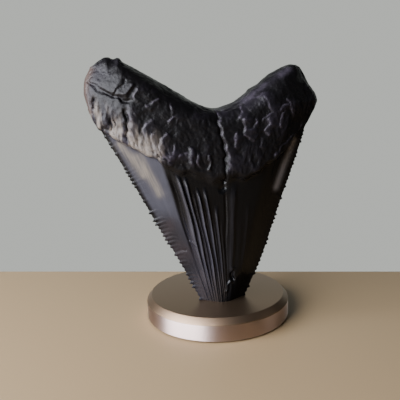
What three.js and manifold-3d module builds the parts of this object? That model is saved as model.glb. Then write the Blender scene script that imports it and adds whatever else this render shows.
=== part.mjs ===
// A fossil shark tooth standing point-down in a turned metal base with a foot pad.
// Millimetres, +Z up. The origin is the centre of the foot pad's underside.
// The tooth's swollen (lingual) face looks along -Y, its flatter (labial) face along +Y.
import * as THREE from "three";
import { mergeVertices } from "three/addons/utils/BufferGeometryUtils.js";
import Module from "manifold-3d";

const wasm = await Module();
wasm.setup();

// ---------- driving dimensions ----------
const pad = { radius: 37, thickness: 1, segments: 96 };
const base = { radius: 40, thickness: 12, chamferWidth: 2.7, chamferHeight: 3.2, segments: 128 };
const baseTop = pad.thickness + base.thickness;

const stance = {
  bladeY: -11.5, // where the tooth's middle plane crosses the top of the base
  lean: THREE.MathUtils.degToRad(4), // the heavy root leans back over the base
};

const mesh = {
  columns: 18, // on each face, closer together near the edges
  edgeCrowding: 0.6,
  rootRows: 12,
  bladeShare: 0.72, // share of the net's height that the blade's rows take
  borderSteps: 60,
};

// Outline in the tooth's plane, as (across, up). Each stretch is a smooth curve through its points.
const outline = {
  tip: [[-4.2, 4.0], [0.3, 3.4], [4.8, 4.0]],
  leftBlade: [
    [-4.2, 4.0], [-8.2, 7.8], [-11.4, 13], [-21.6, 34.8], [-33.3, 57.2], [-48.7, 87.9], [-58.9, 107.2],
  ],
  rightBlade: [[4.8, 4.0], [9.0, 7.8], [12.6, 13], [23.6, 35], [32.6, 58.6], [45.2, 90.2], [49.9, 103.6]],
  leftRoot: [[-58.9, 107.2], [-60.8, 108.8], [-63.8, 117], [-66, 126.4], [-65.2, 132.6], [-61.8, 138.6]],
  rightRoot: [[49.9, 103.6], [51.5, 106.6], [56.4, 115.8], [56.9, 119.4], [53.7, 125.2], [50.4, 131.6]],
  top: [
    [-61.8, 138.6], [-55, 143], [-48.4, 141.8], [-37.2, 135.6], [-21.4, 126], [-9.5, 119.2], [0, 116.2],
    [10.9, 119], [22, 126.3], [32.7, 133.4], [40.4, 136.7], [46.4, 136.2], [50.4, 131.6],
  ],
};

// Depths are measured from the middle plane: front is the swollen face, back the flatter one.
const depth = {
  front: { atTip: 4.4, atNeck: 12.5, root: 15.5, crossPower: 2.2 },
  back: { atTip: 3.2, atNeck: 7.6, root: 9.6, crossPower: 1.9 },
  growthPower: 0.8, // how quickly the blade thickens above its tip
  tipRound: 5, // height of the rounding at the tip
  tipCut: 0.6,
  rootRound: 12, // width of the rounded border of the root
  lobeLoss: 0.34, // share of the root's depth that is gone at the ends of the lobes
};

// The line where the enamel of the blade meets the root: lowest in the middle, highest at the edges.
const neck = { front: 81, back: 90, atEdge: 108, halfWidth: 60, risePower: 1.75, blend: 2.5, blendAtEdge: 8 };

// Serrations on each cutting edge. The two edges are uneven in different ways.
const saw = { count: 29, crest: 1.1, unevenness: 0.35, stride: 2.3, phase: { left: 1.3, right: 4.1 } };

const socket = { clearance: 0.35 };

const colours = { tooth: 0x1c1a1d, base: 0xb8927c, pad: 0x1d1b1a };

// ---------- small helpers ----------
const smooth = (t) => {
  const c = THREE.MathUtils.clamp(t, 0, 1);
  return c * c * (3 - 2 * c);
};
const curveThrough = (points) => new THREE.SplineCurve(points.map(([x, z]) => new THREE.Vector2(x, z)));
const curves = {};
for (const [name, points] of Object.entries(outline)) curves[name] = curveThrough(points);

function solidOf(geometry) {
  const bare = geometry.index ? geometry.toNonIndexed() : geometry.clone();
  bare.deleteAttribute("normal");
  bare.deleteAttribute("uv");
  const merged = mergeVertices(bare, 1e-4);
  return new wasm.Manifold(
    new wasm.Mesh({
      numProp: 3,
      vertProperties: new Float32Array(merged.attributes.position.array),
      triVerts: new Uint32Array(merged.index.array),
    }),
  );
}

function geometryOf(solid) {
  const cut = solid.getMesh();
  const geometry = new THREE.BufferGeometry();
  geometry.setAttribute("position", new THREE.BufferAttribute(new Float32Array(cut.vertProperties), 3));
  geometry.setIndex(new THREE.BufferAttribute(new Uint32Array(cut.triVerts), 1));
  geometry.computeVertexNormals();
  return geometry;
}

function namedMesh(name, geometry, colour, roughness, metalness) {
  const material = new THREE.MeshStandardMaterial({ color: colour, roughness, metalness });
  const made = new THREE.Mesh(geometry, material);
  made.name = name;
  return made;
}

// ---------- tooth ----------
const bladeRows = 2 * saw.count; // two rows to a serration: its gullet and its crest
const rowCount = bladeRows + mesh.rootRows;

// A point of the left or right outline at a row, pushed out where the row is a crest.
function sidePoint(side, row, crest) {
  const blade = curves[side + "Blade"];
  if (row > bladeRows) return curves[side + "Root"].getPointAt(rootRise(row));
  const along = row / bladeRows;
  const point = blade.getPointAt(along);
  if (crest === 0 || row === 0 || row === bladeRows) return point;
  const heading = blade.getTangentAt(along);
  const turn = side === "left" ? 1 : -1;
  const outward = new THREE.Vector2(-heading.y, heading.x).multiplyScalar(turn);
  return point.addScaledVector(outward, crest);
}

// Crest height of the serration that a row belongs to.
function crestAt(side, row) {
  if (row % 2 === 0) return 0;
  return saw.crest * (1 + saw.unevenness * Math.sin(row * saw.stride + saw.phase[side]));
}

// How far up the root a row is, from 0 to 1, with rows closer together near the top.
const rootRise = (row) => Math.sin(((row - bladeRows) / mesh.rootRows) * (Math.PI / 2));

const rowShare = (row) => {
  if (row <= bladeRows) return (row / bladeRows) * mesh.bladeShare;
  return mesh.bladeShare + (1 - mesh.bladeShare) * rootRise(row);
};

// Fills the outline with a net of points: u runs from -1 at the left edge to 1 at the right one.
function planePoint(u, row, left, right) {
  const across = (u + 1) / 2;
  const v = rowShare(row);
  const bottom = curves.tip.getPointAt(across);
  const top = curves.top.getPointAt(across);
  const corners = [outline.tip[0], outline.tip[2], outline.top[0], outline.top.at(-1)];
  const net = (axis, i) => {
    const sides = (1 - across) * left[axis] + across * right[axis];
    const ends = (1 - v) * bottom[axis] + v * top[axis];
    const low = (1 - across) * corners[0][i] + across * corners[1][i];
    const high = (1 - across) * corners[2][i] + across * corners[3][i];
    return sides + ends - (1 - v) * low - v * high;
  };
  return new THREE.Vector2(net("x", 0), net("y", 1));
}

const border = Object.keys(outline)
  .filter((name) => name !== "tip")
  .map((name) => curves[name].getSpacedPoints(mesh.borderSteps));

function distanceToBorder(point) {
  let nearest = Infinity;
  for (const stretch of border) {
    for (let i = 1; i < stretch.length; i++) {
      const along = stretch[i].clone().sub(stretch[i - 1]);
      const from = point.clone().sub(stretch[i - 1]);
      const t = THREE.MathUtils.clamp(from.dot(along) / along.lengthSq(), 0, 1);
      nearest = Math.min(nearest, from.addScaledVector(along, -t).length());
    }
  }
  return nearest;
}

const fractionOf = (value, whole) => THREE.MathUtils.clamp(value / whole, 0, 1);

function neckHeight(x, face) {
  const sideways = fractionOf(Math.abs(x), neck.halfWidth);
  return neck[face] + (neck.atEdge - neck[face]) * Math.pow(sideways, neck.risePower);
}

// Depth of one face at a point of the net.
function faceDepth(face, u, point) {
  const side = depth[face];
  const lowest = outline.tip[1][1];
  const rise = fractionOf(point.y - lowest, neck.front - lowest);
  const ridge = side.atTip + (side.atNeck - side.atTip) * Math.pow(rise, depth.growthPower);
  const endRound = Math.sqrt(1 - (1 - fractionOf(point.y - lowest + depth.tipCut, depth.tipRound)) ** 2);
  const blade = ridge * endRound * (1 - Math.pow(Math.abs(u), side.crossPower));

  const inward = fractionOf(distanceToBorder(point), depth.rootRound);
  const sideways = fractionOf(Math.abs(point.x), neck.halfWidth) ** 2;
  const root = side.root * (1 - depth.lobeLoss * sideways) * Math.sqrt(1 - (1 - inward) ** 2);

  const blend = THREE.MathUtils.lerp(neck.blend, neck.blendAtEdge, sideways);
  const mix = smooth((point.y - neckHeight(point.x, face)) / (2 * blend) + 0.5);
  return blade + (root - blade) * mix;
}

// One face of the tooth as a net of rows, each an array of points in space.
function faceNet(face, grow) {
  const direction = face === "front" ? -1 : 1;
  const rows = [];
  for (let row = 0; row <= rowCount; row++) {
    const reach = (side) => (grow ? saw.crest * (1 + saw.unevenness) + grow : crestAt(side, row));
    const left = sidePoint("left", row, reach("left"));
    const right = sidePoint("right", row, reach("right"));
    const line = [];
    for (let column = 0; column <= mesh.columns; column++) {
      const even = (2 * column) / mesh.columns - 1;
      const u = THREE.MathUtils.lerp(even, Math.sin((even * Math.PI) / 2), mesh.edgeCrowding);
      const point = planePoint(u, row, left, right);
      const onBorder = column === 0 || column === mesh.columns || row === 0 || row === rowCount;
      const off = onBorder ? 0 : faceDepth(face, u, point) + grow;
      const middle = stance.bladeY + (point.y - baseTop) * Math.tan(stance.lean);
      line.push(new THREE.Vector3(point.x, middle + direction * off, point.y - (row === 0 ? grow : 0)));
    }
    rows.push(line);
  }
  return rows;
}

function toothGeometry(grow = 0) {
  const positions = [];
  const addNet = (rows, facingFront) => {
    for (let r = 0; r < rows.length - 1; r++) {
      for (let c = 0; c < rows[r].length - 1; c++) {
        const [a, b, d, e] = [rows[r][c], rows[r][c + 1], rows[r + 1][c], rows[r + 1][c + 1]];
        const pair = facingFront ? [a, b, e, a, e, d] : [a, e, b, a, d, e];
        pair.forEach((p) => positions.push(p.x, p.y, p.z));
      }
    }
  };
  addNet(faceNet("front", grow), true);
  addNet(faceNet("back", grow), false);
  const geometry = new THREE.BufferGeometry();
  geometry.setAttribute("position", new THREE.Float32BufferAttribute(positions, 3));
  return geometry;
}

// ---------- base and pad ----------
function turned(profile, segments) {
  const lathe = new THREE.LatheGeometry(profile.map(([r, z]) => new THREE.Vector2(r, z)), segments);
  return lathe.rotateX(Math.PI / 2);
}

function baseGeometry() {
  const low = pad.thickness;
  const shoulder = baseTop - base.chamferHeight;
  const topRadius = base.radius - base.chamferWidth;
  const profile = [[0, low], [base.radius, low], [base.radius, shoulder], [topRadius, baseTop], [0, baseTop]];
  const disc = turned(profile, base.segments);
  return geometryOf(solidOf(disc).subtract(solidOf(toothGeometry(socket.clearance))));
}

function padGeometry() {
  const profile = [[0, 0], [pad.radius, 0], [pad.radius, pad.thickness], [0, pad.thickness]];
  return turned(profile, pad.segments);
}

const group = new THREE.Group();
group.add(namedMesh("tooth", toothGeometry(), colours.tooth, 0.35, 0));
group.add(namedMesh("base_disc", baseGeometry(), colours.base, 0.3, 1));
group.add(namedMesh("foot_pad", padGeometry(), colours.pad, 0.9, 0));

export default group;
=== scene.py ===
# A fossil shark tooth standing in its round metal base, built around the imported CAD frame.
import math

import bpy
import numpy as np
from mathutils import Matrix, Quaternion, Vector


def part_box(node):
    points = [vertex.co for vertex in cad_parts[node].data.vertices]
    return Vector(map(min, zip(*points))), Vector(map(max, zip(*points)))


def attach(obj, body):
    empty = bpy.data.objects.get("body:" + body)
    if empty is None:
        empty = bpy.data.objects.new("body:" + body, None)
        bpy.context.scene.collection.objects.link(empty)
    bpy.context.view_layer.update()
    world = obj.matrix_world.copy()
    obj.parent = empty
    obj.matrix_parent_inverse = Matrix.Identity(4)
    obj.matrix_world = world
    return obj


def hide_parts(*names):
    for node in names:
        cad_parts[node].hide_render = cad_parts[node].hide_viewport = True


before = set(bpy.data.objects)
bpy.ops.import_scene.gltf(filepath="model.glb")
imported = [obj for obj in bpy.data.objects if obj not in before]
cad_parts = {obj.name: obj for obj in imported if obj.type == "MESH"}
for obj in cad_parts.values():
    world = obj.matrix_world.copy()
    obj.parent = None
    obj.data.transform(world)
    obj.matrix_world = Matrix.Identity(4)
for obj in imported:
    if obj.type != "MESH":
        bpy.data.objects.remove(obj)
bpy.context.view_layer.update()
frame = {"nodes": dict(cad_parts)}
toothLow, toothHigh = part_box("tooth")
baseLow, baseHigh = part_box("base_disc")
mm = 0.001
print("frame loaded:", ", ".join(frame["nodes"]))


def toLinear(hexColour):
    parts = [int(hexColour[i : i + 2], 16) / 255 for i in (1, 3, 5)]
    return tuple(c / 12.92 if c <= 0.04045 else ((c + 0.055) / 1.055) ** 2.4 for c in parts) + (1.0,)


def addNode(tree, kind, inputs=None, **settings):
    # an input is a value, a socket, or a node whose first live output is taken
    node = tree.nodes.new(kind)
    for name, value in settings.items():
        setattr(node, name, value)
    for key, value in (inputs or {}).items():
        if isinstance(value, bpy.types.Node):
            value = next(output for output in value.outputs if output.enabled)
        if isinstance(value, bpy.types.NodeSocket):
            tree.links.new(value, node.inputs[key])
        else:
            node.inputs[key].default_value = value
    return node


def startMaterial(name):
    material = bpy.data.materials.new(name)
    material.use_nodes = True
    tree = material.node_tree
    return material, tree, tree.nodes["Principled BSDF"]


def addMesh(name, points, faces, material=None):
    mesh = bpy.data.meshes.new(name)
    mesh.from_pydata(points.tolist(), [], faces)
    mesh.validate()
    mesh.shade_smooth()
    thing = bpy.data.objects.new(name, mesh)
    bpy.context.scene.collection.objects.link(thing)
    if material:
        mesh.materials.append(material)
    return thing


def smoothStep(low, high, value):
    t = np.clip((value - low) / (high - low), 0, 1)
    return t * t * (3 - 2 * t)


def softMin(a, b, reach):
    h = np.clip(0.5 + 0.5 * (b - a) / reach, 0, 1)
    return b + (a - b) * h - reach * h * (1 - h)


# The tooth starts as a net of points, front and back.
bladeSlant = math.radians(27)  # the cutting edges from the vertical

toothShape = {  # millimetres in the tooth's own plane, as (across, up)
    "columns": 260,
    "backThinning": 5,  # the back keeps every fifth column
    "crestRows": 47,  # except in its topmost rows
    "bladeRows": 178,
    "rootRows": 102,
    "bladeShare": 0.72,  # share of the net's height that the blade takes
    "edgeCrowding": 0.25,  # columns stand closer together near the edges
    "tip": [(-4.2, 4.0), (0.3, 3.4), (4.8, 4.0)],
    "leftBlade": [
        (-4.2, 4.0), (-8.2, 7.8), (-11.4, 13), (-21.6, 34.8), (-33.3, 57.2), (-48.7, 87.9), (-58.9, 107.2),
    ],
    "rightBlade": [
        (4.8, 4.0), (9.0, 7.8), (12.6, 13), (23.6, 35), (32.6, 58.6), (45.2, 90.2), (49.9, 103.6),
    ],
    "leftRoot": [(-58.9, 107.2), (-60.8, 108.8), (-63.8, 117), (-66, 126.4), (-65.2, 132.6), (-61.8, 138.6)],
    "rightRoot": [(49.9, 103.6), (51.5, 106.6), (56.4, 115.8), (56.9, 119.4), (53.7, 125.2), (50.4, 131.6)],
    "top": [
        (-61.8, 138.6), (-55, 143), (-50.6, 141.9), (-48, 142.6), (-45.6, 140.2), (-37.2, 135.6),
        (-29, 130.9), (-21.4, 126), (-9.5, 119.2), (0, 116.2), (10.9, 119), (17.6, 123.6), (19.4, 125.4),
        (24.6, 128), (27, 129.9), (32.7, 133.4), (40.4, 136.7), (46.4, 136.2), (50.4, 131.6),
    ],
    "forward": 11.5,  # how far the blade stands in front of the base's axis
    "lean": math.radians(4),  # the heavy root leans back
    "neckFront": [
        (-66, 113), (-58, 107.6), (-50, 102), (-41, 97.4), (-33, 92.4), (-24, 87.6), (-13, 83.6), (0, 81),
        (11, 81.4), (20, 84), (29, 88.8), (38, 96), (46, 103), (58, 112),
    ],
    "neckBack": [(-66, 113), (-50, 105), (-30, 97), (0, 90), (30, 97), (46, 104), (58, 112)],
    "neckBlend": 1.2,  # half the height of the step from enamel up to root
    "neckSoftening": 1.8,  # added to it in the middle
    "neckMiddle": 22,  # how far the middle reaches to either side
    "neckWander": [(0.9, 3.1, 0), (0.5, 1.3, 2)],  # height, length and phase of the waves in the neck line
    "neckWanderFrom": (-50, -30),  # left of this the neck line runs smooth
    "enamelUnderRoot": (9, 1),  # above the neck, where the enamel's own depth gives way to the root's
    "borderFade": 1.5,  # marks die out this near the outline
    "thinFade": 3,  # and where the tooth is thinner than this
    "spanPieces": 60,  # straight pieces to a span of a drawn curve
    "neckPoints": 80,  # points to a whole curve, once it is drawn
    "topPoints": 160,
    "sidePoints": 30,
}

toothDepth = {  # millimetres from the middle plane
    "front": {"atTip": 4.4, "atNeck": 13.2, "root": 15.4},
    "back": {"atTip": 3.2, "atNeck": 7.6, "root": 9.4},
    "growth": 0.8,  # how quickly the blade thickens above its tip
    "neckHeight": 81,
    "mostRise": 1.3,  # the blade thickens on to this share of the neck's height
    "tipRound": 5,
    "tipLead": 0.6,  # how far below the tip its rounding begins
    "flangeWidth": 0.5,  # the thin flange that carries the serrations
    "flangeSlope": 0.45,
    "flangeShare": 0.08,  # the most of the blade's width that it takes near the tip
    "facetSlope": 0.66,  # the smooth facet between the flange and the fluted middle
    "domeDrop": {"left": 1.3, "right": 2.6, "back": 2.4},  # how strongly the middle curves away
    "softness": 1.1,  # how softly facet and middle meet
    "topRound": 10,  # the crest of the root is rounded over this width
    "topExact": 1.5,  # nearer to the top edge than this, the way along the net is used
    # distance in from a side of the root, and the share of its depth reached there
    "lobeRamp": [(0, 0), (1, 0.2), (3, 0.38), (8, 0.63), (15, 0.92), (19, 0.98), (24, 1)],
    "lobeLoss": 0.2,  # share of the root's depth lost at this distance across
    "lobeLossAcross": 60,
}


def alongLine(points, shares):
    # places at shares of the length of a smooth curve through the points
    p = np.array(points, float)
    last = len(p) - 1
    t = np.linspace(0, last, toothShape["spanPieces"] * last + 1)
    i = np.minimum(t.astype(int), last - 1)
    w = (t - i)[:, None]
    a, b, c, d = p[np.maximum(i - 1, 0)], p[i], p[i + 1], p[np.minimum(i + 2, last)]
    leave, arrive = (c - a) / 2, (d - b) / 2
    cubic, square = 2 * b - 2 * c + leave + arrive, 3 * c - 3 * b - 2 * leave - arrive
    fine = cubic * w**3 + square * w**2 + leave * w + b
    run = np.concatenate([[0], np.cumsum(np.linalg.norm(np.diff(fine, axis=0), axis=1))])
    at = np.asarray(shares) * run[-1]
    return np.stack([np.interp(at, run, fine[:, k]) for k in (0, 1)], axis=-1), run[-1]


def distanceToLine(across, up, points):
    nearest = np.full(across.shape, np.inf)
    for (x0, z0), (x1, z1) in zip(points[:-1], points[1:]):
        dx, dz = x1 - x0, z1 - z0
        t = np.clip(((across - x0) * dx + (up - z0) * dz) / (dx * dx + dz * dz), 0, 1)
        nearest = np.minimum(nearest, np.hypot(across - x0 - t * dx, up - z0 - t * dz))
    return nearest


def rowPlan():
    # for each row: its share of the blade's edge, its share of the root's side, its share of the net
    blade = np.linspace(0, 1, toothShape["bladeRows"] + 1)
    root = np.sin(np.linspace(0, math.pi / 2, toothShape["rootRows"] + 1))[1:]
    share = toothShape["bladeShare"]
    return blade, root, np.concatenate([blade * share, share + (1 - share) * root])


def planeNet():
    # the outline filled with a net, as arrays of rows by columns
    even = np.linspace(-1, 1, toothShape["columns"] + 1)
    u = even + (np.sin(even * math.pi / 2) - even) * toothShape["edgeCrowding"]
    blade, root, v = rowPlan()
    sides = {}
    for side in ("left", "right"):
        edge, length = alongLine(toothShape[side + "Blade"], blade)
        flank, _ = alongLine(toothShape[side + "Root"], root)
        sides[side] = np.concatenate([edge, flank]), length
    left, right = sides["left"][0][:, None], sides["right"][0][:, None]
    s, v = ((u + 1) / 2)[None, :, None], v[:, None, None]
    bottom, top = (alongLine(toothShape[name], s[0, :, 0])[0][None] for name in ("tip", "top"))
    low = (1 - s) * bottom[:, :1] + s * bottom[:, -1:]
    high = (1 - s) * top[:, :1] + s * top[:, -1:]
    net = (1 - s) * left + s * right + (1 - v) * (bottom - low) + v * (top - high)
    return net[..., 0], net[..., 1], np.broadcast_to(u, net.shape[:2]), sides


def neckLine(across, face):
    drawn = toothShape["neckFront" if face == "front" else "neckBack"]
    line, _ = alongLine(drawn, np.linspace(0, 1, toothShape["neckPoints"]))
    waves = sum(h * np.sin(across / length + phase) for h, length, phase in toothShape["neckWander"])
    waves = waves * smoothStep(*toothShape["neckWanderFrom"], across)
    return np.interp(across, line[:, 0], line[:, 1]) + waves


def crownDepth(face, across, up):
    # a thin flange, a side facet and a rounded middle
    side, drop = toothDepth[face], toothDepth["domeDrop"]
    lowest = toothShape["tip"][1][1]
    rise = np.clip((up - lowest) / (toothDepth["neckHeight"] - lowest), 0, toothDepth["mostRise"])
    ridge = side["atTip"] + (side["atNeck"] - side["atTip"]) * rise ** toothDepth["growth"]
    tipRise = np.clip((up - lowest + toothDepth["tipLead"]) / toothDepth["tipRound"], 0, 1)
    width = across[:, -1:] - across[:, :1]
    share = (across - across[:, :1]) / width
    inset = np.minimum(share, 1 - share) * width * math.cos(bladeSlant)
    flangeWidth = np.minimum(toothDepth["flangeWidth"], toothDepth["flangeShare"] * width)
    facet = flangeWidth * toothDepth["flangeSlope"] + (inset - flangeWidth) * toothDepth["facetSlope"]
    facet = np.maximum(facet, inset * toothDepth["flangeSlope"])
    fall = np.where(share < 0.5, drop["left"], drop["right"]) if face == "front" else drop["back"]
    dome = ridge * (1 - fall * (share - 0.5) ** 2)
    return np.sqrt(1 - (1 - tipRise) ** 2) * np.maximum(softMin(facet, dome, toothDepth["softness"]), 0)


def rootDepth(face, across, up):
    # the way along the net to each border is exact at the border itself
    exact = np.hypot(across - across[-1:], up - up[-1:])
    topLine, _ = alongLine(toothShape["top"], np.linspace(0, 1, toothShape["topPoints"]))
    top = distanceToLine(across, up, topLine)
    top = top + (exact - top) * smoothStep(toothDepth["topExact"], 0, exact)
    ends = []
    for column in (slice(0, 1), slice(-1, None)):
        ends.append(np.hypot(across - across[:, column], up - up[:, column]))
    for name in ("leftRoot", "rightRoot", "leftBlade", "rightBlade"):
        sideLine, _ = alongLine(toothShape[name], np.linspace(0, 1, toothShape["sidePoints"]))
        ends.append(distanceToLine(across, up, sideLine))
    reach, share = np.array(toothDepth["lobeRamp"], float).T
    ramp = np.interp(np.minimum.reduce(ends), reach, share)
    topShare = np.clip(top / toothDepth["topRound"], 0, 1)
    rounded = np.sqrt(1 - (1 - topShare) ** 2)
    sideways = np.clip(np.abs(across) / toothDepth["lobeLossAcross"], 0, 1) ** 2
    return toothDepth[face]["root"] * (1 - toothDepth["lobeLoss"] * sideways) * rounded * ramp


# Flutes fan up from a point below the tip, and each one rises on its left flank.
flutes = {  # millimetres, and the fan as width over height
    "fanAcross": 3,
    "fanUp": -25,
    "flank": 0.65,  # share of a flute's width that its left flank takes
    "fade": 9,
    "low": 0.3,  # share of the height left low on the blade
    "fromTip": (6, 20),  # heights between which the flutes come in
    "sway": [(0.006, 17, 25), (0.002, 5, 60)],  # size in the fan, length up the blade, change across it
    "crestPlace": 0.42,  # where in a flute its painted crest highlight lies, and how wide that is
    "crestWidth": 0.2,
    "crestUp": (12, 48),  # heights between which the painted crest highlights come in
    "crestPower": 1.5,  # low flutes get little of it
    # for each one: place in the fan, height, how far below the neck it starts, where it ends above the tip
    "ribs": [
        (-0.294, -1.4, 0, 42), (-0.258, 1.5, 0, 36), (-0.226, 1.4, 1, 26), (-0.198, 0.5, 8, 20),
        (-0.172, 1.6, 6, 30), (-0.145, 0.35, 14, 22), (-0.13, 1.4, 5, 34), (-0.101, 0.4, 18, 18),
        (-0.08, 0.9, 12, 26), (-0.052, 0.3, 20, 16), (-0.03, -0.6, 3, 34), (-0.008, 0.5, 3, 20),
        (0.05, 0.1, 20, 20), (0.1, 0.2, 12, 30), (0.15, 0.0, 0, 0),
    ],
}


def fluteRelief(across, up, neck):
    fan = (across - flutes["fanAcross"]) / (up - flutes["fanUp"])
    lines, heights, starts, ends = np.array(flutes["ribs"]).T
    sway = sum(size * np.sin(up / length + fan * change) for size, length, change in flutes["sway"])
    turn = np.interp(fan + sway, lines, np.arange(len(lines)))
    number = np.minimum(turn.astype(int), len(lines) - 2)
    phase = turn - number
    flank = flutes["flank"]
    wave = np.where(phase < flank, smoothStep(0, flank, phase), 1 - smoothStep(flank, 1, phase))
    fade = flutes["fade"]
    begin = smoothStep(starts[number], starts[number] + fade, neck - up)
    finish = smoothStep(ends[number] - fade, ends[number] + fade, up)
    reach = begin * (flutes["low"] + (1 - flutes["low"]) * finish) * smoothStep(*flutes["fromTip"], up)
    inside = (fan + sway > lines[0]) & (fan + sway < lines[-1])
    # a painted highlight along the crest of each flute, on its lit left flank
    crest = np.exp(-(((phase - flutes["crestPlace"]) / flutes["crestWidth"]) ** 2))
    strength = np.clip(heights[number] / heights.max(), 0, 1) ** flutes["crestPower"]
    crest = crest * strength * begin * inside
    crest = crest * smoothStep(*flutes["crestUp"], up)
    return heights[number] * wave * reach * inside, crest, fan


# Cracks, pits and bumps on the front, in millimetres: points, half width, height (negative for a crack)
folds = [
    ([(-63, 131.6), (-61, 130.3), (-59, 128.1), (-56, 125.9), (-51.8, 124.9), (-44.9, 121.7)], 0.8, -1.3),
    ([(-46.1, 131.9), (-48.4, 129.4), (-51.4, 125.0)], 0.8, -0.6),
    ([(-61.0, 123.1), (-62.2, 119.7)], 1.0, -1.8),
    ([(-53.5, 113.6), (-53.6, 108.2)], 0.45, -0.8),
    ([(-51.7, 113.5), (-51.5, 108.1)], 0.45, -0.8),
    ([(-47.2, 117.5), (-46.2, 110.5), (-46.0, 104.6)], 0.9, -1.2),
    ([(-42.2, 130.2), (-44.2, 128.2), (-47.1, 125.3)], 1.0, 0.8),
    ([(-15, 96.8), (-15.3, 93.5), (-15.8, 90.1)], 1.3, 1.0),
    ([(-6.5, 93.0), (-6.7, 86.7)], 0.7, 0.8),
    ([(-1.5, 116.4), (-0.8, 110), (-0.1, 105.6), (0.8, 99.9), (1.7, 94), (2.0, 86), (1.5, 80)], 0.8, -1.3),
    ([(0.4, 79), (0.2, 75)], 1.2, -1.0),
    ([(4.7, 29.2), (4.2, 26.0)], 1.2, -1.6),
    ([(2.6, 24.5), (1.5, 19)], 0.6, 0.7),
    ([(-27.7, 40.7), (-22.4, 41.9), (-18.6, 43.2)], 0.5, -0.6),
    ([(-16.6, 47.6), (-13.8, 46.4)], 0.6, 0.7),
    ([(-61, 109.5), (-54, 105.5), (-46, 101.6), (-38, 97.4), (-30, 92.6), (-25, 90.6)], 0.8, 0.6),
]

# Steps, drawn downward: points, height, how far on the left they rise, how far on the right they run out
steps = [
    ([(-40.1, 128.0), (-42.0, 124.9), (-42.6, 123.3)], 0.54, 1, 3),
    ([(-31.2, 121.8), (-33.8, 120.5), (-36.1, 118.7)], 0.54, 1.05, 3),
    ([(-24.4, 119.3), (-24.2, 118.0)], 0.36, 1, 2),
    ([(-34.8, 112.2), (-36.6, 110.6), (-38.1, 108.0), (-37.7, 105.2), (-36.5, 103.5)], 0.66, 1.15, 4),
    ([(-23.1, 113.8), (-25.7, 111.5)], 0.42, 1, 2),
    ([(-44.8, 118.8), (-44.2, 116.4), (-44.2, 112.1), (-44.5, 106.7), (-42.5, 103.3)], 0.72, 1.25, 4),
    ([(-33.6, 105.6), (-34.3, 102.3), (-32.9, 98.4), (-30.8, 95.5)], 0.54, 1.05, 3),
    ([(-27.7, 105.0), (-30.1, 102.6), (-30.6, 98.8), (-29.2, 94.8), (-26.5, 92.7)], 0.66, 1.05, 4),
    ([(-24.5, 98.5), (-24.0, 95.7), (-25.9, 93.5)], 0.42, 1, 3),
    ([(-12.2, 93.9), (-11.3, 88.7)], 0.36, 1, 2),
    ([(-18.3, 95.5), (-22.4, 93.7)], 0.42, 1, 2),
    ([(0, 115.5), (0.6, 108.9), (1.5, 103.2), (3.0, 96.9), (4.0, 92.3), (4.2, 86)], 0.32, 1.0, 4),
    ([(24.2, 122.9), (19.7, 120.9), (16.2, 119.4), (12.6, 117.8), (11.9, 114.5), (10.6, 112)], 0.6, 1.15, 4),
    ([(24.5, 121.8), (25.6, 118.4), (27.2, 115.0), (27.2, 112.8), (22.9, 110.7)], 0.48, 1, 4),
    ([(25.3, 110.0), (25.8, 107.2), (23.7, 105.0), (25.1, 102.7)], 0.54, 1.05, 2),
    ([(12.6, 110.6), (12.8, 107.8), (13.3, 105.5), (12.4, 103.3), (15, 101.8), (17.3, 100)], 0.54, 1.05, 4),
    ([(18.8, 110.0), (19.0, 108.1), (16.3, 105.9), (13.6, 105.0)], 0.42, 1, 2),
    ([(8.0, 103.5), (7.3, 100.8), (8.1, 97.6)], 0.48, 1.05, 3),
    ([(20.9, 100.6), (21.3, 96.6)], 0.42, 1, 2),
    ([(36.3, 120.2), (37.8, 117.4), (38.3, 114.0), (39.1, 111.1)], 0.54, 1, 4),
    ([(36.6, 117.7), (33.8, 116.4), (32.0, 115.4)], 0.42, 1, 2),
    ([(34.3, 113.0), (31.9, 109.4), (31.8, 106.3)], 0.36, 1, 2),
    ([(4.6, 30.6), (6.2, 29.2), (6.0, 26.6)], 0.6, 0.9, 2),
    ([(46.9, 106.2), (44.4, 102.9)], 0.48, 1.15, 3),
    ([(44.1, 101.7), (40.7, 100.5), (37.0, 98.6), (33.3, 96.0), (30.8, 93.2), (28.4, 91.6)], 0.42, 1.05, 3),
]


foldSway = {  # millimetres: how far a mark strays from its drawn line, and the lengths of its waves
    "fine": 0.35,
    "fineLengths": (0.9, 2.3),
    "fineBend": 2,
    "broad": 0.4,
    "broadLengths": (1.9, 2.7),
    "climb": 0.4,
    "climbLengths": (1.1, 1.7),
    "climbBend": 1.5,
    "endFade": 1.2,  # how far past its ends a step dies out
}


def stepRelief(across, up, points, height, rise, runOut):
    nearest = np.full(across.shape, np.inf)
    offset = np.zeros(across.shape)
    beyond = np.zeros(across.shape)
    last = len(points) - 2
    for k, ((x0, z0), (x1, z1)) in enumerate(zip(points[:-1], points[1:])):
        dx, dz = x1 - x0, z1 - z0
        length = math.hypot(dx, dz)
        t = ((across - x0) * dx + (up - z0) * dz) / length**2
        clipped = np.clip(t, 0, 1)
        away = np.hypot(across - x0 - clipped * dx, up - z0 - clipped * dz)
        side = np.sign(dx * (up - z0) - dz * (across - x0))
        excess = np.where(((k == 0) & (t < 0)) | ((k == last) & (t > 1)), np.abs(t - clipped) * length, 0)
        closer = away < nearest
        nearest = np.where(closer, away, nearest)
        offset = np.where(closer, side * away, offset)
        beyond = np.where(closer, excess, beyond)
    rising = smoothStep(-rise, 0, offset)
    falling = np.exp(-((np.maximum(offset, 0) / runOut) ** 2))
    ending = np.exp(-((beyond / foldSway["endFade"]) ** 2))
    # the second value marks the rising flank of a step, where a painted highlight goes
    return height * rising * falling * ending, 2 * np.sqrt(rising * (1 - rising)) * ending


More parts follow.
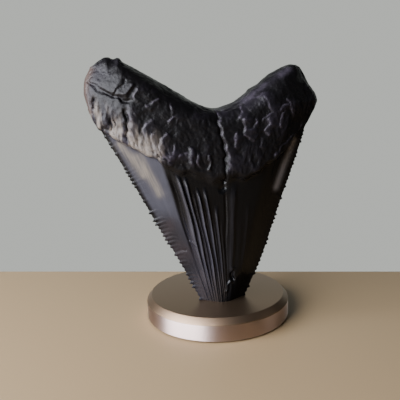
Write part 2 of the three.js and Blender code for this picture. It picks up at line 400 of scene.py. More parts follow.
def foldRelief(across, up):
    (a, b), (c, d), (e, f) = (foldSway[name + "Lengths"] for name in ("fine", "broad", "climb"))
    fine = foldSway["fine"] * np.sin(up / a + foldSway["fineBend"] * np.sin(across / b))
    wander = fine + foldSway["broad"] * np.sin(across / c + up / d)
    climb = foldSway["climb"] * np.sin(across / e + foldSway["climbBend"] * np.sin(up / f))
    relief, edges = np.zeros(across.shape), np.zeros(across.shape)
    for points, width, height in folds:
        away = distanceToLine(across + wander, up + climb, points)
        relief += height * np.exp(-((away / width) ** 2))
    for points, height, rise, runOut in steps:
        step, edge = stepRelief(across + wander, up + climb, points, height, rise, runOut)
        relief += step
        edges = np.maximum(edges, edge)
    return relief, edges


mineralsAndPaintedLight = {  # where the black gives way to paler colour on the front, in millimetres: mineral stains, and painted light and reflections
    "enamelInset": (0.6, 2.2),  # from the cutting edge
    "enamelUp": (36, 70),  # heights between which the painted reflection on the facet comes in
    "facetFrom": (0.012, -0.004),  # in the fan, from the first flute
    "rootReach": (18, 4),  # above the neck
    "rootAcross": (-22, -38),
    # left of these, painted light on the left lobe, which faces the window
    "lobeAcross": (-47, -53),
    "patch": [(-28.5, 55), (-25, 47), (-22, 39)],  # a worn brown patch low on the left facet
    "patchWidth": 5.5,
    # a warm reflection painted in streaks high on the facet
    "warmFacetReflections": [[(-50, 100), (-44.5, 92.5), (-39.5, 84)], [(-41, 94), (-37, 85.1), (-31.5, 74)]],
    "warmFacetReflectionWidth": 2.0,
    "lowGrey": [(-16, 8), (-9, 34), (-14, 50)],
    "lowGreyWidth": 9,
    # a painted highlight down the right facet
    "rightFacetHighlight": [(43, 97), (36.5, 84), (32, 73)],
    "rightFacetHighlightWidth": 1.9,
    # painted light along the lit top edge of the right lobe
    "rightLobeLitStrip": [(3, 115.5), (11, 117.5), (20, 122.8), (32, 131.2), (40, 134.8)],
    "rightLobeLitStripWidth": 1.4,
    "tanRim": [(-64, 117), (-66, 126), (-65, 132), (-62, 138)],
    "tanRimWidth": 1.8,
}


mineralAndLightNames = [
    "facetReflectionPaint", "neckClayAndLight", "leftLobeLitPaint", "wornPatch", "lowGrey", "rightFacetHighlight", "rightLobeLitStrip", "tanRim", "warmFacetReflection",
]


def mineralAndLightShares(across, up, neck, fan, inset):
    firstFlute = flutes["ribs"][0][0]
    begin, full = mineralsAndPaintedLight["facetFrom"]
    onFacet = smoothStep(firstFlute + begin, firstFlute + full, fan)
    # a painted blue-grey reflection on the left facet, paler higher up
    enamel = onFacet * smoothStep(*mineralsAndPaintedLight["enamelInset"], inset) * smoothStep(*mineralsAndPaintedLight["enamelUp"], up)
    # pale clay colour low on the root's lit left by the neck: partly clay, partly painted light
    byNeck = smoothStep(*mineralsAndPaintedLight["rootReach"], up - neck) * smoothStep(*mineralsAndPaintedLight["rootAcross"], across)
    # painted light on the left lobe
    lobe = smoothStep(*mineralsAndPaintedLight["lobeAcross"], across)
    bands = []
    for name in ("patch", "lowGrey", "rightFacetHighlight", "rightLobeLitStrip", "tanRim"):
        away = distanceToLine(across, up, mineralsAndPaintedLight[name])
        bands.append(np.exp(-((away / mineralsAndPaintedLight[name + "Width"]) ** 2)))
    # warm painted reflection in streaks high on the left facet
    warmFacetReflection = np.zeros(up.shape)
    for line in mineralsAndPaintedLight["warmFacetReflections"]:
        warmFacetReflection += np.exp(-((distanceToLine(across, up, line) / mineralsAndPaintedLight["warmFacetReflectionWidth"]) ** 2))
    return [enamel * (1 - bands[0]), byNeck, lobe, *bands, warmFacetReflection * onFacet]


saw = {  # serrations of the cutting edges, in millimetres
    "pitchAtTip": 2.8,
    "pitchAtRoot": 2.0,
    "sharpness": 1.1,
    "nubReach": 0.6,  # how far in from the edge a serration bulges
    "ribReach": 3.6,  # and how far in it runs on as a faint rib
    # height above the tip, relative size of the serrations and of their ribs
    "left": [
        (0, 1.0, 1), (22, 1.1, 1.6), (42, 1.1, 1.9), (62, 1.1, 1.7), (76, 0.85, 1), (95, 0.55, 0.6),
        (107, 0.45, 0.5),
    ],
    "right": [(0, 1.3, 1), (30, 1.1, 1), (60, 0.9, 1), (107, 0.7, 0.6)],
    "lastShare": 0.97,  # they fade out past this share of the edge
    "rightSideNumbers": 100,  # numbered on from here, so that the two sides draw different heights
}


def toothFace(face):
    across, up, u, sides = planeNet()
    neck = neckLine(across, face)
    crown = crownDepth(face, across, up)
    root = rootDepth(face, across, up)
    inMiddle = np.exp(-((across / toothShape["neckMiddle"]) ** 2))
    neckBlend = toothShape["neckBlend"] + toothShape["neckSoftening"] * inMiddle
    rootShare = smoothStep(-1, 1, (up - neck) / neckBlend)
    underRoot = crown * smoothStep(*toothShape["enamelUnderRoot"], up - neck)
    depth = crown + (np.maximum(root, underRoot) - crown) * rootShare
    inset = np.minimum(across - across[:, :1], across[:, -1:] - across) * math.cos(bladeSlant)
    grooves, crest, fan = fluteRelief(across, up, neck)
    values = {"rootShare": rootShare, "fan": fan, "fluteCrestHighlight": crest * (face == "front")}
    if face == "front":
        marks, edges = foldRelief(across, up)
        onBorder = np.exp(-((inset / toothShape["borderFade"]) ** 2))
        thick = smoothStep(0, toothShape["thinFade"], depth)
        depth = depth + (grooves * (1 - rootShare) + marks) * (1 - onBorder) * thick
        pale = mineralAndLightShares(across, up, neck, fan, inset)
    else:
        marks = edges = np.zeros(up.shape)
        pale = [marks] * len(mineralAndLightNames)
    values.update(foldLift=marks, stepEdge=edges)
    values.update(zip(mineralAndLightNames, pale))
    depth[:, [0, -1]] = 0
    depth[[0, -1], :] = 0
    blade, flank, _ = rowPlan()
    turns, outward = [], []
    for side, sign in (("left", -1), ("right", 1)):
        border, length = sides[side]
        run = np.concatenate([blade * length, np.full(len(flank), length)])
        pitch = saw["pitchAtTip"] + (saw["pitchAtRoot"] - saw["pitchAtTip"]) * run / length
        turn = np.concatenate([[0], np.cumsum(np.diff(run) / pitch[1:])])
        heading = np.gradient(border, axis=0)
        normal = np.stack([sign * heading[:, 1], -sign * heading[:, 0]], axis=-1)
        turns.append(turn + (saw["rightSideNumbers"] if sign > 0 else 0))
        outward.append(normal / np.linalg.norm(normal, axis=1, keepdims=True))
    onLeft = u < 0
    turn = np.where(onLeft, turns[0][:, None], turns[1][:, None])
    values["sawNumber"] = np.floor(turn)
    values["outwardAcross"] = np.where(onLeft, outward[0][:, None, 0], outward[1][:, None, 0])
    values["outwardUp"] = np.where(onLeft, outward[0][:, None, 1], outward[1][:, None, 1])
    bladeOnly = np.concatenate([smoothStep(1, saw["lastShare"], blade), np.zeros(len(flank))])[:, None]
    wave = (0.5 - 0.5 * np.cos(2 * math.pi * turn)) ** saw["sharpness"] * bladeOnly
    heights, nubs, ribs = zip(*(np.array(saw[side], float).T for side in ("left", "right")))
    nubSize, ribSize = (
        np.where(onLeft, *(np.interp(up, heights[k], sizes[k]) for k in (0, 1))) for sizes in (nubs, ribs)
    )
    values["nubWave"] = wave * nubSize * np.exp(-((inset / saw["nubReach"]) ** 2))
    values["ribWave"] = wave * ribSize * np.exp(-((inset / saw["ribReach"]) ** 2))
    direction = -1 if face == "front" else 1
    # from the tooth's plane into the frame
    middle = (baseLow.y + baseHigh.y) / 2 / mm - toothShape["forward"]
    baseTop = baseHigh.z / mm
    y = middle + (up - baseTop) * math.tan(toothShape["lean"]) + direction * depth
    return np.stack([across, y, up], axis=-1), values


def stitchTooth():
    # front and back share their border; the back is thinned out below the crest
    front, frontValues = toothFace("front")
    back, backValues = toothFace("back")
    rows, wide = front.shape[:2]
    frontId = np.arange(rows * wide).reshape(rows, wide)
    backId = frontId + rows * wide
    backId[:, [0, -1]] = frontId[:, [0, -1]]
    backId[[0, -1]] = frontId[[0, -1]]
    thin = toothShape["backThinning"]
    crest = rows - toothShape["crestRows"]

    def quads(ids, flip):
        a, b, c, d = ids[:-1, :-1], ids[:-1, 1:], ids[1:, 1:], ids[1:, :-1]
        order = (a, d, c, b) if flip else (a, b, c, d)
        return np.stack(order, axis=-1).reshape(-1, 4).tolist()

    faces = quads(frontId, False) + quads(backId[1:crest, ::thin], True) + quads(backId[crest:], True)
    for fineRow, coarseRow in ((0, 1), (crest, crest - 1)):
        for c in range(0, wide - 1, thin):
            fine = backId[fineRow, c : c + thin + 1].tolist()[::-1]
            ring = fine + backId[coarseRow, [c, c + thin]].tolist()
            faces.append(ring if fineRow < coarseRow else ring[::-1])
    used, first = np.unique(np.concatenate([np.array(f) for f in faces]), return_inverse=True)
    renumbered = iter(first.tolist())
    faces = [[next(renumbered) for _ in face] for face in faces]
    points = np.concatenate([front.reshape(-1, 3), back.reshape(-1, 3)])[used]
    values = {}
    for name in frontValues:
        values[name] = np.concatenate([frontValues[name].ravel(), backValues[name].ravel()])[used]
    # the net's own millimetres are fitted to the CAD tooth's box
    scale = (toothHigh.z - toothLow.z) / (points[:, 2].max() - points[:, 2].min())
    points *= scale
    points[:, 0] += toothLow.x - points[:, 0].min()
    points[:, 2] += toothLow.z - points[:, 2].min()
    return points, faces, values


reliefSizes = {  # inputs of the relief tree: millimetres, but for the two noted and the seed
    "Serration Crest": 0.6,
    "Serration Unevenness": 0.85,  # share of its height that a serration may gain or lose
    "Rib Depth": 0.14,
    "Lump Width": 13.0,
    "Lump Height": 1.3,
    "Grain Width": 2.0,
    "Grain Height": 0.4,
    "Wrinkle Width": 5.0,
    "Wrinkle Height": 0.6,
    "Wrinkles By Neck": 1.6,  # times as high as elsewhere
    "Patch Width": 17.0,
    "Seed": 3,
}

reliefNoise = {
    "detail": {"Lump": 2.0, "Grain": 3.0, "Wrinkle": 2.0, "Patch": 1.0},
    "wrinkleStretch": (1.0, 0.9, 0.4),  # two and a half times as tall as wide
    "wrinkleBend": 0.6,
    "wrinkleCrest": (-4.0, 0.88),  # slope and peak: thin crests with wide valleys between them
    "patchRange": (0.42, 0.6),  # noise values between which a wrinkled patch comes in
}


def reliefTree():
    tree = bpy.data.node_groups.new("fossil relief", "GeometryNodeTree")
    tree.interface.new_socket("Geometry", in_out="INPUT", socket_type="NodeSocketGeometry")
    for name, value in reliefSizes.items():
        kind = "NodeSocketInt" if name == "Seed" else "NodeSocketFloat"
        tree.interface.new_socket(name, in_out="INPUT", socket_type=kind).default_value = value
    tree.interface.new_socket("Material", in_out="INPUT", socket_type="NodeSocketMaterial")
    tree.interface.new_socket("Geometry", in_out="OUTPUT", socket_type="NodeSocketGeometry")
    sizes = addNode(tree, "NodeGroupInput").outputs
    net = {}
    for name in ("rootShare", "neckClayAndLight", "sawNumber", "nubWave", "ribWave", "outwardAcross", "outwardUp"):
        net[name] = addNode(tree, "GeometryNodeInputNamedAttribute", {"Name": name}, data_type="FLOAT")
    place = addNode(tree, "GeometryNodeInputPosition")
    place = addNode(tree, "ShaderNodeVectorMath", {0: place, "Scale": 1 / mm}, operation="SCALE")

    # every serration has its own height
    spread = {"Min": -1.0, "Max": 1.0, "ID": net["sawNumber"], "Seed": sizes["Seed"]}
    height = addNode(tree, "FunctionNodeRandomValue", spread, data_type="FLOAT")
    height = {0: height, 1: sizes["Serration Unevenness"], 2: 1.0}
    height = addNode(tree, "ShaderNodeMath", height, operation="MULTIPLY_ADD")
    nub = addNode(tree, "ShaderNodeMath", {0: height, 1: net["nubWave"]}, operation="MULTIPLY")
    nub = addNode(tree, "ShaderNodeMath", {0: nub, 1: sizes["Serration Crest"]}, operation="MULTIPLY")
    rib = addNode(tree, "ShaderNodeMath", {0: height, 1: net["ribWave"]}, operation="MULTIPLY")

    # root: broad lumps, fine grain, and wrinkles that run up from the neck
    rough = 0.0
    detail = reliefNoise["detail"]
    for layer in ("Lump", "Grain"):
        scale = addNode(tree, "ShaderNodeMath", {0: 1.0, 1: sizes[layer + " Width"]}, operation="DIVIDE")
        noise = {"Vector": place, "Scale": scale, "Detail": detail[layer]}
        noise = addNode(tree, "ShaderNodeTexNoise", noise)
        noise = addNode(tree, "ShaderNodeMath", {0: noise, 1: 0.5}, operation="SUBTRACT")
        noise = {0: noise, 1: sizes[layer + " Height"], 2: rough}
        rough = addNode(tree, "ShaderNodeMath", noise, operation="MULTIPLY_ADD")
    upright = {0: place, 1: reliefNoise["wrinkleStretch"]}
    upright = addNode(tree, "ShaderNodeVectorMath", upright, operation="MULTIPLY")
    scale = addNode(tree, "ShaderNodeMath", {0: 1.0, 1: sizes["Wrinkle Width"]}, operation="DIVIDE")
    fold = {"Vector": upright, "Scale": scale, "Detail": detail["Wrinkle"]}
    fold = addNode(tree, "ShaderNodeTexNoise", {**fold, "Distortion": reliefNoise["wrinkleBend"]})
    fold = addNode(tree, "ShaderNodeMath", {0: fold, 1: 0.5}, operation="SUBTRACT")
    fold = addNode(tree, "ShaderNodeMath", {0: fold}, operation="ABSOLUTE")
    slope, peak = reliefNoise["wrinkleCrest"]
    fold = addNode(tree, "ShaderNodeMath", {0: fold, 1: slope, 2: peak}, operation="MULTIPLY_ADD")
    scale = addNode(tree, "ShaderNodeMath", {0: 1.0, 1: sizes["Patch Width"]}, operation="DIVIDE")
    patch = {"Vector": place, "Scale": scale, "Detail": detail["Patch"]}
    patch = addNode(tree, "ShaderNodeTexNoise", patch)
    low, high = reliefNoise["patchRange"]
    patch = addNode(tree, "ShaderNodeMapRange", {"Value": patch, "From Min": low, "From Max": high})
    patch = {0: net["neckClayAndLight"], 1: sizes["Wrinkles By Neck"], 2: patch}
    patch = addNode(tree, "ShaderNodeMath", patch, operation="MULTIPLY_ADD")
    fold = addNode(tree, "ShaderNodeMath", {0: fold, 1: patch}, operation="MULTIPLY")
    rough = {0: fold, 1: sizes["Wrinkle Height"], 2: rough}
    rough = addNode(tree, "ShaderNodeMath", rough, operation="MULTIPLY_ADD")
    rough = addNode(tree, "ShaderNodeMath", {0: rough, 1: net["rootShare"]}, operation="MULTIPLY")

    raised = {0: rib, 1: sizes["Rib Depth"], 2: rough}
    raised = addNode(tree, "ShaderNodeMath", raised, operation="MULTIPLY_ADD")
    normal = addNode(tree, "GeometryNodeInputNormal")
    raised = addNode(tree, "ShaderNodeVectorMath", {0: normal, "Scale": raised}, operation="SCALE")
    outward = addNode(tree, "ShaderNodeCombineXYZ", {"X": net["outwardAcross"], "Z": net["outwardUp"]})
    outward = addNode(tree, "ShaderNodeVectorMath", {0: outward, "Scale": nub}, operation="SCALE")
    offset = addNode(tree, "ShaderNodeVectorMath", {0: raised, 1: outward}, operation="ADD")
    offset = addNode(tree, "ShaderNodeVectorMath", {0: offset, "Scale": mm}, operation="SCALE")
    moved = addNode(tree, "GeometryNodeSetPosition", {"Geometry": sizes["Geometry"], "Offset": offset})
    kept = {"Geometry": moved, "Name": "relief", "Value": rough}
    kept = addNode(tree, "GeometryNodeStoreNamedAttribute", kept, data_type="FLOAT", domain="POINT")
    real = addNode(tree, "GeometryNodeRealizeInstances", {"Geometry": kept})
    dressed = addNode(tree, "GeometryNodeSetMaterial", {"Geometry": real, "Material": sizes["Material"]})
    addNode(tree, "NodeGroupOutput", {0: dressed})
    return tree


fossilLook = {
    "enamelBlack": "#0a0a0b",
    "rootBlack": "#0c0b0c",
    "enamelRoughness": 0.22,
    "rootRoughness": 0.37,
    "wornRoughness": 0.25,  # added where the enamel is worn
    "ior": 1.45,
    "specularLevel": 0.2,
    "bumpStrength": 0.4,
    "bumpDepth": 0.4,  # millimetres, as are the widths below
    "skinBump": 1.9,
    "cloudWidth": 11,
    "skinWidth": 2,  # pores of the bone
    "lineWidth": 9,  # thousandths of the fan: growth lines 0.8 mm wide at 85 mm from the fan's centre
    "lineStretch": 0.7,  # and about 13 mm long
    "clayWidth": 4.2,
    "clayStretch": (1.0, 0.8, 0.25),  # four times as tall as wide, along the wrinkles
    "clayRange": (0.44, 0.58),  # noise values between which the clay comes in
    "clayOnRidge": (-0.5, 0.6),  # millimetres of relief over which it thickens
    "detail": {"cloud": 4.0, "skin": 6.0, "line": 3.0, "clay": 3.0},
    "skinCoarseness": 0.65,
    # mineral and painted-light layers: where each lies, the pattern that breaks it up, how much of it shows,
    # its colour
    "enamelLayers": [
        # painted reflection of the window on the left facet
        ("facetReflectionPaint", "cloud", (0.3, 0.6), (0.75, 1.0), "#323238"),
        ("lowGrey", "cloud", (0.0, 1.0), (1.0, 1.0), "#1f1e23"),
        # painted highlights on the flute crests
        ("fluteCrestHighlight", "lines", (0.35, 0.6), (0.35, 1.0), "#3a393e"),
        # a painted warm reflection high on the facet
        ("warmFacetReflection", "lines", (0.35, 0.65), (0.2, 0.6), "#746c5f"),
        # a painted highlight down the right facet
        ("rightFacetHighlight", "cloud", (0.0, 1.0), (1.0, 1.0), "#6a6768"),
        ("wornPatch", "cloud", (0.35, 0.6), (0.3, 1.0), "#241e20"),
    ],
    "rootLayers": [
        # painted highlights: the root's ridges made paler by their relief
        ("rootShare", "ridge", (0.3, 1.4), (0.0, 0.35), "#35303a"),
        # painted light along the top edge of the right lobe
        ("rightLobeLitStrip", "cloud", (0.42, 0.56), (0.25, 1.0), "#302c33"),
        # painted highlights on the rising edges of the steps
        ("stepEdge", "skin", (0.44, 0.6), (0.1, 1.0), "#3a353d"),
        # painted light on the left lobe
        ("leftLobeLitPaint", "cloud", (0.42, 0.58), (0.0, 1.0), "#1a181c"),
        # clay low on the lit left root, partly painted light
        ("neckClayAndLight", "clay", (0.0, 1.0), (0.0, 1.0), "#625b54"),
        ("tanRim", "cloud", (0.4, 0.56), (0.1, 0.8), "#473b35"),
    ],
}


def fossilEnamel():
    # Mineralised shark tooth: black, glass-smooth enamel on the blade, satin and pitted root.
    # Sediment minerals have left it clay-coloured low on the root, mixed there with painted light on the lit
    # left; the blue-grey on one facet is a painted reflection, and ridges, step edges and flute crests carry
    # painted highlights.
    material, tree, shader = startMaterial("mineralised black enamel and root")
    net = {}
    for name in ("rootShare", "fan", "relief", "foldLift", "stepEdge", "fluteCrestHighlight", *mineralAndLightNames):
        net[name] = addNode(tree, "ShaderNodeAttribute", attribute_name=name).outputs["Fac"]
    scale = {name: 1 / (fossilLook[name + "Width"] * mm) for name in ("cloud", "skin", "line", "clay")}
    place = addNode(tree, "ShaderNodeTexCoord").outputs["Object"]
    up = addNode(tree, "ShaderNodeSeparateXYZ", {0: place}).outputs["Z"]
    detail = fossilLook["detail"]
    cloud = {"Vector": place, "Scale": scale["cloud"], "Detail": detail["cloud"]}
    # the relief, used as a pattern that paints ridges paler: a painted highlight
    ridge = {0: net["relief"], 1: net["foldLift"]}
    patterns = {
        "cloud": addNode(tree, "ShaderNodeTexNoise", cloud),
        "ridge": addNode(tree, "ShaderNodeMath", ridge, operation="ADD"),
    }
    # bone skin of the root, pores about 2 mm across and finer
    skin = {"Vector": place, "Scale": scale["skin"], "Detail": detail["skin"]}
    skin = addNode(tree, "ShaderNodeTexNoise", {**skin, "Roughness": fossilLook["skinCoarseness"]})
    patterns["skin"] = skin
    # growth lines that follow the fan of the flutes, and draw apart as it opens
    up = addNode(tree, "ShaderNodeMath", {0: up, 1: fossilLook["lineStretch"]}, operation="MULTIPLY")
    along = addNode(tree, "ShaderNodeCombineXYZ", {"X": net["fan"], "Y": up})
    lines = {"Vector": along, "Scale": scale["line"], "Detail": detail["line"]}
    patterns["lines"] = addNode(tree, "ShaderNodeTexNoise", lines)
    # clay along the upright wrinkles, about 4 mm wide and 17 mm tall, made thickest on the ridges as a
    # painted highlight
    upright = {0: place, 1: fossilLook["clayStretch"]}
    upright = addNode(tree, "ShaderNodeVectorMath", upright, operation="MULTIPLY")
    clay = {"Vector": upright, "Scale": scale["clay"], "Detail": detail["clay"]}
    clay = addNode(tree, "ShaderNodeTexNoise", clay)
    low, high = fossilLook["clayRange"]
    clay = addNode(tree, "ShaderNodeMapRange", {"Value": clay, "From Min": low, "From Max": high})
    low, high = fossilLook["clayOnRidge"]
    onRidge = {"Value": patterns["ridge"], "From Min": low, "From Max": high}
    onRidge = addNode(tree, "ShaderNodeMapRange", onRidge)
    patterns["clay"] = addNode(tree, "ShaderNodeMath", {0: clay, 1: onRidge}, operation="MULTIPLY")

    coats = {}
    for part in ("enamel", "root"):
        coat = toLinear(fossilLook[part + "Black"])
        for name, pattern, (low, high), (least, most), colour in fossilLook[part + "Layers"]:
            shown = {"From Min": low, "From Max": high, "To Min": least, "To Max": most}
            shown = addNode(tree, "ShaderNodeMapRange", {"Value": patterns[pattern], **shown})
            shown = addNode(tree, "ShaderNodeMath", {0: shown, 1: net[name]}, operation="MULTIPLY")
            coat = {0: shown, 6: coat, 7: toLinear(colour)}
            coat = addNode(tree, "ShaderNodeMix", coat, data_type="RGBA")
        coats[part] = coat.outputs[2]
    colour = {0: net["rootShare"], 6: coats["enamel"], 7: coats["root"]}
    colour = addNode(tree, "ShaderNodeMix", colour, data_type="RGBA")
    tree.links.new(colour.outputs[2], shader.inputs["Base Color"])

    gloss = {"To Min": fossilLook["enamelRoughness"], "To Max": fossilLook["rootRoughness"]}
    gloss = addNode(tree, "ShaderNodeMapRange", {"Value": net["rootShare"], **gloss})
    gloss = {0: net["wornPatch"], 1: fossilLook["wornRoughness"], 2: gloss}
    gloss = addNode(tree, "ShaderNodeMath", gloss, operation="MULTIPLY_ADD")
    tree.links.new(gloss.outputs[0], shader.inputs["Roughness"])
    shader.inputs["IOR"].default_value = fossilLook["ior"]
    shader.inputs["Specular IOR Level"].default_value = fossilLook["specularLevel"]
    skin = {0: patterns["skin"], 1: fossilLook["skinBump"]}
    skin = addNode(tree, "ShaderNodeMath", skin, operation="MULTIPLY")
    height = {0: net["rootShare"], 2: patterns["lines"], 3: skin}
    height = addNode(tree, "ShaderNodeMix", height, data_type="FLOAT")
    bump = {"Strength": fossilLook["bumpStrength"], "Distance": fossilLook["bumpDepth"] * mm}
    bump = addNode(tree, "ShaderNodeBump", {**bump, "Height": height})
    tree.links.new(bump.outputs[0], shader.inputs["Normal"])
    return material


def makeTooth():
    material = fossilEnamel()
    points, faces, values = stitchTooth()
    rough = addMesh("tooth_net", points, faces)
    for name, value in values.items():
        layer = rough.data.attributes.new(name, "FLOAT", "POINT")
        layer.data.foreach_set("value", value.astype(np.float32))
    tree = reliefTree()
    relief = rough.modifiers.new("relief", "NODES")
    relief.node_group = tree
    for item in tree.interface.items_tree:
        if item.in_out == "INPUT" and item.name in reliefSizes:
            relief[item.identifier] = reliefSizes[item.name]
        if item.in_out == "INPUT" and item.name == "Material":
            relief[item.identifier] = material
    seen = rough.evaluated_get(bpy.context.evaluated_depsgraph_get())
    mesh = bpy.data.meshes.new_from_object(seen)
    tooth = bpy.data.objects.new("fossil_tooth", mesh)
    bpy.context.scene.collection.objects.link(tooth)
    mesh.shade_smooth()
    bpy.data.objects.remove(rough)
    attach(tooth, "root")
    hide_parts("tooth")
    return tooth


tooth = makeTooth()
print("tooth:", len(tooth.data.polygons), "faces")


# The base is a turned metal disc on a foot pad.
baseShape = {
    "segments": 360,
    "chamferWidth": 2.7,  # millimetres, as are the next two
    "chamferHeight": 3.2,
    "ease": 0.25,
    "easeSteps": (0, 0.33, 0.67, 1),
    # wall and top are lit and shaded copies of one metal colour: the top's darker colour is painted shade
    "litWallColour": "#cfbbb4",
    "brushedRoughness": 0.5,
    "brushedStretch": 0.95,
    "brushedTurn": 0.25,  # a quarter turn, so that highlights stretch across the tool marks
    "shadedTopColour": "#8a7560",
    "blastedRoughness": 0.42,
}


def brushedBronze():
    # Anodised aluminium in rose bronze, brushed round on the lathe: highlights stretch up and down the wall.
    material, tree, shader = startMaterial("brushed rose bronze aluminium")
    shader.inputs["Base Color"].default_value = toLinear(baseShape["litWallColour"])
    shader.inputs["Metallic"].default_value = 1.0
    shader.inputs["Roughness"].default_value = baseShape["brushedRoughness"]
    shader.inputs["Anisotropic"].default_value = baseShape["brushedStretch"]
    shader.inputs["Anisotropic Rotation"].default_value = baseShape["brushedTurn"]
    tangent = addNode(tree, "ShaderNodeTangent", direction_type="RADIAL", axis="Z")
    tree.links.new(tangent.outputs[0], shader.inputs["Tangent"])
    return material


def blastedBronze():
    # The same aluminium, bead-blasted flat on top before anodising: even and matt, with a darker colour than
    # the wall that is painted shade on the top and chamfer.
    material, _, shader = startMaterial("blasted rose bronze aluminium")
    shader.inputs["Base Color"].default_value = toLinear(baseShape["shadedTopColour"])
    shader.inputs["Metallic"].default_value = 1.0
    shader.inputs["Roughness"].default_value = baseShape["blastedRoughness"]
    return material


def turnedProfile():
    radius = (baseHigh.x - baseLow.x) / 2
    low, high = baseLow.z, baseHigh.z
    ease = baseShape["ease"] * mm
    corners = [
        (radius, low),
        (radius, high - baseShape["chamferHeight"] * mm),
        (radius - baseShape["chamferWidth"] * mm, high),
    ]
    path = [(0.0, low), *corners, (0.0, high)]
    profile = [path[0]]
    for before, corner, after in zip(path[:-2], path[1:-1], path[2:]):
        corner = np.array(corner)
        into = np.array(before) - corner
        out = np.array(after) - corner
        start = corner + into / np.linalg.norm(into) * ease
        end = corner + out / np.linalg.norm(out) * ease
        for t in baseShape["easeSteps"]:
            profile.append(tuple((1 - t) ** 2 * start + 2 * t * (1 - t) * corner + t * t * end))
    profile.append(path[-1])
    return profile


def makeBase():
    profile = turnedProfile()
    count = baseShape["segments"]
    angles = np.linspace(0, 2 * math.pi, count, endpoint=False)
    points = [(0.0, 0.0, profile[0][1])]
    for r, z in profile[1:-1]:
        points += [(r * math.cos(a), r * math.sin(a), z) for a in angles]
    points.append((0.0, 0.0, profile[-1][1]))
    rings = len(profile) - 2
    faces = []
    for i in range(count):
        j = (i + 1) % count
        faces.append([0, 1 + j, 1 + i])
        for k in range(rings - 1):
            a, b = 1 + k * count, 1 + (k + 1) * count
            faces.append([a + i, a + j, b + j, b + i])
        last = 1 + (rings - 1) * count
        faces.append([last + i, last + j, len(points) - 1])
    base = addMesh("turned_base", np.array(points), faces)
    base.data.materials.append(brushedBronze())
    base.data.materials.append(blastedBronze())
    wallTop = baseHigh.z - (baseShape["chamferHeight"] + baseShape["ease"]) * mm
    for face in base.data.polygons:
        low = min(base.data.vertices[v].co.z for v in face.vertices)
        if low > wallTop:
            face.material_index = 1
    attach(base, "root")
    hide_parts("base_disc")
    return base


base = makeBase()
print("base:", len(base.data.polygons), "faces")


padLook = {
    "colour": "#1d1b1a",
    "roughness": 0.85,
}


def dressPad():
    # Black rubber sheet, die-cut: dull, with a dry skin.
    material, _, shader = startMaterial("die-cut black rubber sheet")
    shader.inputs["Base Color"].default_value = toLinear(padLook["colour"])
    shader.inputs["Roughness"].default_value = padLook["roughness"]
    for holder in frame["nodes"]["foot_pad"].material_slots:
        holder.material = material


dressPad()
print("foot pad: black rubber")


# The room is a table, a plain wall colour and soft lamps.
room = {  # metres
    "tableBack": 0.0668,
    "tableFront": -0.5,
    "tableLeft": -0.42,
    "tableRight": 0.6,
    "tableThick": 0.03,
    "tableTurn": math.radians(-16.2),  # the table's edges run with the view, not with the tooth
    "tableColour": "#947e5d",
    "tableRoughness": 0.6,
    "wallColour": "#c3c6c1",
    "ambient": 0.03,
    "ambientColour": "#f3f9ff",
}


def makeTable():
    # Oiled pine, planed: pale and satin, left plain because it is only the floor.
    material, _, shader = startMaterial("pale oiled pine")
    shader.inputs["Base Color"].default_value = toLinear(room["tableColour"])
    shader.inputs["Roughness"].default_value = room["tableRoughness"]
    x0, x1, y0, y1 = (room[k] for k in ("tableLeft", "tableRight", "tableFront", "tableBack"))
    cos, sin = math.cos(room["tableTurn"]), math.sin(room["tableTurn"])
    corners = [(x * cos - y * sin, x * sin + y * cos) for y in (y0, y1) for x in (x0, x1)]
    points = np.array([(x, y, z) for z in (-room["tableThick"], 0) for x, y in corners])
    faces = [[0, 2, 3, 1], [4, 5, 7, 6], [0, 1, 5, 4], [2, 6, 7, 3], [0, 4, 6, 2], [1, 3, 7, 5]]
    table = addMesh("table_top", points, faces, material)
    table.data.shade_flat()


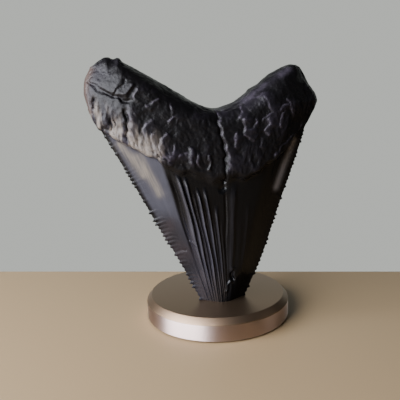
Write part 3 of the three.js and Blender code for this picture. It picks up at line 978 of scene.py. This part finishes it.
def makeWorld():
    world = bpy.data.worlds.new("room")
    bpy.context.scene.world = world
    world.use_nodes = True
    tree = world.node_tree
    tree.nodes.clear()
    wall = addNode(tree, "ShaderNodeBackground", {"Color": toLinear(room["wallColour"])})
    dim = {"Color": toLinear(room["ambientColour"]), "Strength": room["ambient"]}
    dim = addNode(tree, "ShaderNodeBackground", dim)
    seen = addNode(tree, "ShaderNodeLightPath").outputs["Is Camera Ray"]
    mix = addNode(tree, "ShaderNodeMixShader", {0: seen, 1: dim.outputs[0], 2: wall.outputs[0]})
    addNode(tree, "ShaderNodeOutputWorld", {0: mix.outputs[0]})


lamps = {  # place, aim, width, height in metres, watts, colour
    "window": ((-0.475, -0.225, 0.19), (0, 0, 0.08), 0.64, 0.64, 23, "#f1f3fc"),
    "backWall": ((0.3, 1.3, 0.4), (0, 0, 0.05), 2.4, 1.2, 6, "#e8efe8"),
    "farRoom": ((1.1, -0.28, 0.4), (0, 0, 0.08), 0.45, 0.9, 0.4, "#f2eeea"),
    "skylight": ((-0.55, -0.2, 1.1), (0, 0, 0.1), 0.6, 0.6, 1, "#eeecff"),
}


def makeLamps():
    for name, (place, aim, width, height, watts, colour) in lamps.items():
        light = bpy.data.lights.new(name, "AREA")
        light.shape = "RECTANGLE"
        light.size, light.size_y = width, height
        light.energy = watts
        light.color = toLinear(colour)[:3]
        lamp = bpy.data.objects.new(name, light)
        lamp.location = place
        lamp.rotation_mode = "QUATERNION"
        lamp.rotation_quaternion = (Vector(aim) - Vector(place)).to_track_quat("-Z", "Y")
        lamp.visible_camera = False
        bpy.context.scene.collection.objects.link(lamp)


camera = {
    "place": (-0.0622, -0.2926, 0.1322),
    "aim": (-0.0090, -0.0045, 0.0674),
    "roll": math.radians(-1.97),
    "lens": 50,
    "nearest": 0.01,  # metres
}


def makeCamera():
    eye = bpy.data.objects.new("camera", bpy.data.cameras.new("camera"))
    eye.data.lens = camera["lens"]
    eye.data.clip_start = camera["nearest"]
    eye.location = camera["place"]
    eye.rotation_mode = "QUATERNION"
    look = (Vector(camera["aim"]) - Vector(camera["place"])).to_track_quat("-Z", "Y")
    eye.rotation_quaternion = look @ Quaternion((0, 0, 1), camera["roll"])
    bpy.context.scene.collection.objects.link(eye)
    bpy.context.scene.camera = eye


makeTable()
makeWorld()
makeLamps()
makeCamera()
print("room, lights and camera are set")
